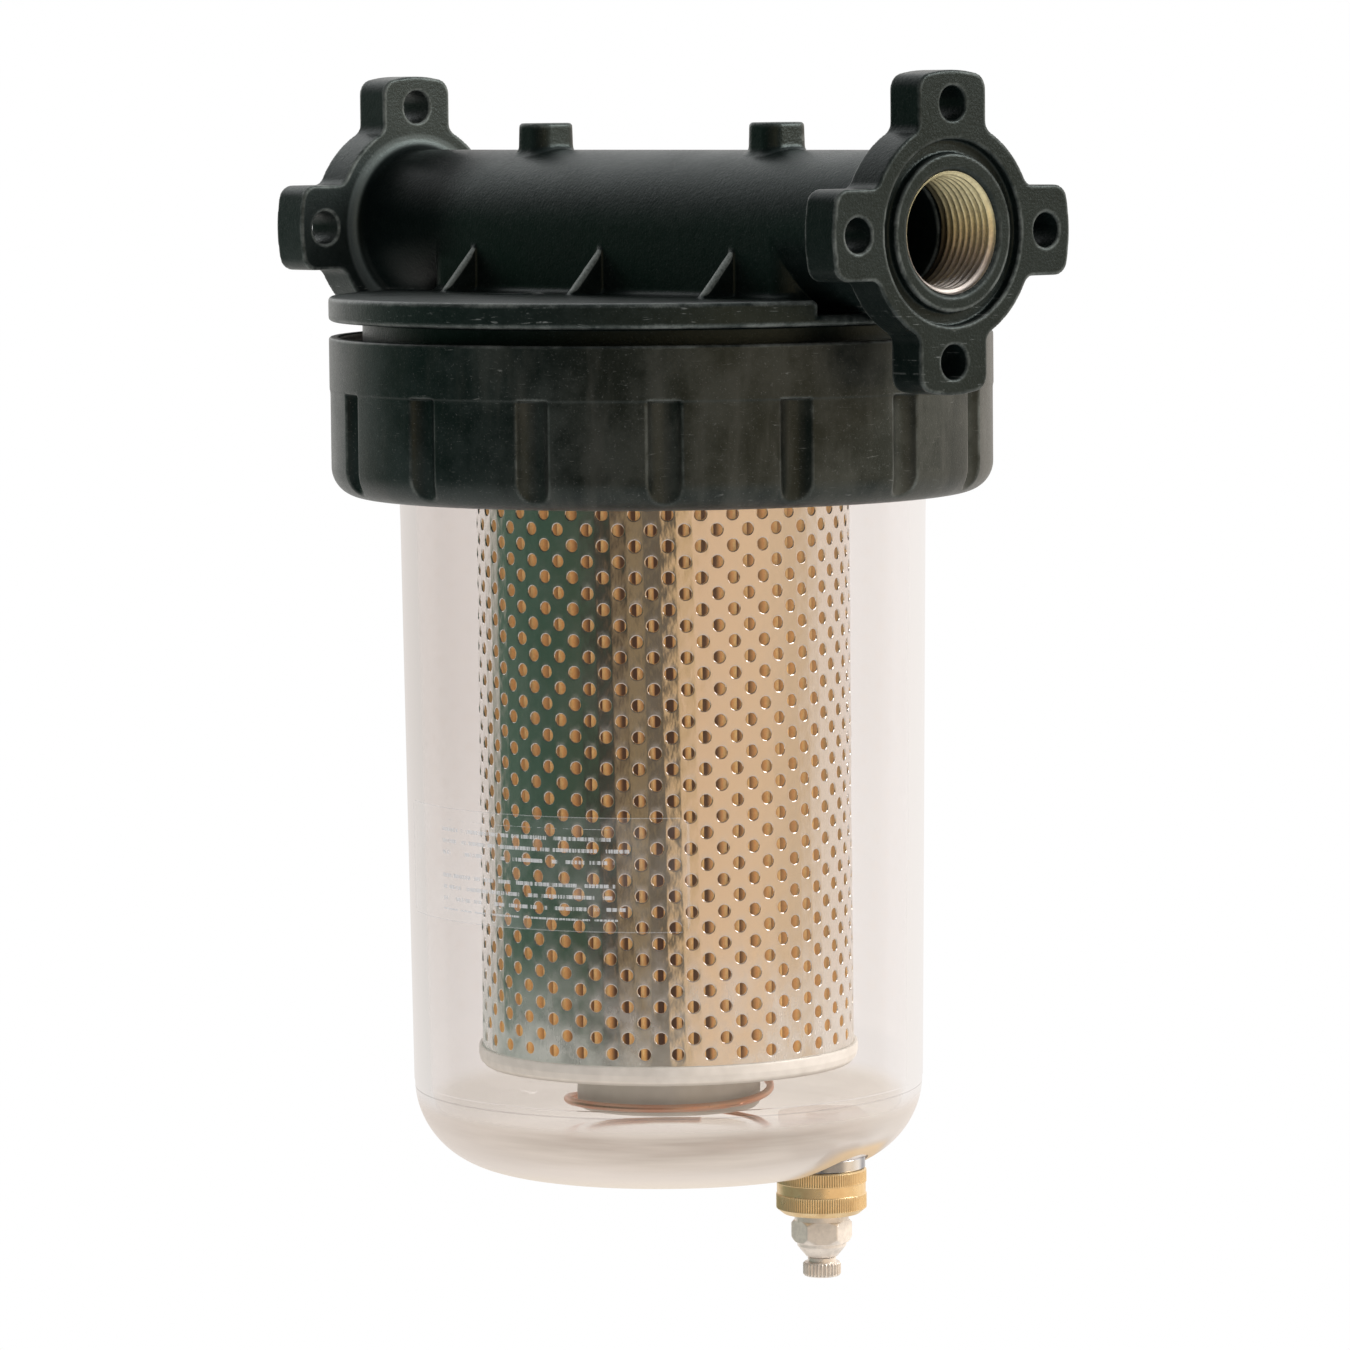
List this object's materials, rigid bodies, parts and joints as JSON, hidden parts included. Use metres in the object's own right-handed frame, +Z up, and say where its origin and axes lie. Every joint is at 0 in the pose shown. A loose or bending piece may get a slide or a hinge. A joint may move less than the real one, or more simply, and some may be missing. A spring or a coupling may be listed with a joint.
{
  "type": "in-line bowl filter",
  "caption": "In-line filter with twin flanged ports, a fluted retaining ring, a clear sediment bowl, a spring-held pleated cartridge and a bottom drain valve.",
  "frame": {"origin": "where the straight centreline through both ports crosses the bowl's axis", "axes": "+X along the port centreline towards the outlet flange, +Z up along the bowl axis"},
  "size_m": [0.2426, 0.1892, 0.3404],
  "materials": {
    "head_paint": "satin black coating on a fine-grained aluminium die casting, worn lighter on the edges",
    "ring_paint": "satin black coating on die-cast aluminium, scuffed grey",
    "clear_bowl": "clear moulded plastic, hazy near the bottom",
    "label_film": "thin clear film",
    "tinplate": "bright rolled sheet with punched holes",
    "cap_steel": "dull pressed sheet",
    "paper": "pleated tan filter paper",
    "potting": "matt sealing compound",
    "black_rubber": "matt",
    "spring_wire": "copper-coloured plated wire",
    "nickel": "nickel plate",
    "brass": "turned and knurled brass",
    "turned_alloy": "turned"
  },
  "bodies": {
    "head": {"head_casting": "head_paint", "outlet_spigot": "turned_alloy"},
    "cartridge": {"top_cap": "cap_steel", "top_grommet": "black_rubber", "perforated_tube": "tinplate", "pleated_media": "paper", "potting_rings": "potting", "core_tube": "cap_steel", "bottom_cap": "cap_steel", "spring_cup": "cap_steel"},
    "bowl_unit": {"bowl": "clear_bowl", "bowl_seal": "black_rubber", "bowl_label": "label_film", "coil_spring": "spring_wire", "drain_insert": "nickel", "insert_gasket": "black_rubber", "drain_collar": "nickel"},
    "ring": {"retaining_ring": "ring_paint"},
    "valve": {"valve_body": "nickel", "valve_washer": "potting"},
    "nut": {"union_nut": "brass"},
    "pad": {"drain_pad": "black_rubber"},
    "knob": {"drain_screw": "nickel", "screw_o_ring": "black_rubber"}
  },
  "joints": [
    {"name": "service_drop", "type": "slide", "parent": "head", "child": "cartridge", "axis": [0, 0, -1], "range_m": [0, 0.25]},
    {"name": "bowl_unscrew", "type": "slide", "parent": "cartridge", "child": "bowl_unit", "axis": [0, 0, -1], "range_m": [0, 0.012], "deforming": ["coil_spring"]},
    {"name": "ring_turn", "type": "hinge", "parent": "bowl_unit", "child": "ring", "pos_m": [0, 0, -0.05], "axis": [0, 0, -1], "range_deg": [0, 1080]},
    {"name": "valve_drop", "type": "slide", "parent": "bowl_unit", "child": "valve", "axis": [0, 0, -1], "range_m": [0, 0.006]},
    {"name": "union_nut_turn", "type": "hinge", "parent": "valve", "child": "nut", "pos_m": [0.0509, 0.0127, -0.272], "axis": [0, 0, -1], "range_deg": [0, 1440.5]},
    {"name": "drain_pad_travel", "type": "slide", "parent": "valve", "child": "pad", "axis": [0, 0, -1], "range_m": [0, 0.002]},
    {"name": "drain_knob_turn", "type": "hinge", "parent": "pad", "child": "knob", "pos_m": [0.0509, 0.0127, -0.29], "axis": [0, 0, -1], "range_deg": [0, 720.5]}
  ],
  "couplings": [
    {"joint": "bowl_unscrew", "follows": "ring_turn", "m_per_rad": 0.00063662},
    {"joint": "union_nut_turn", "follows": "valve_drop", "rad_per_m": 4188.8},
    {"joint": "drain_knob_turn", "follows": "drain_pad_travel", "rad_per_m": 6283.2}
  ]
}
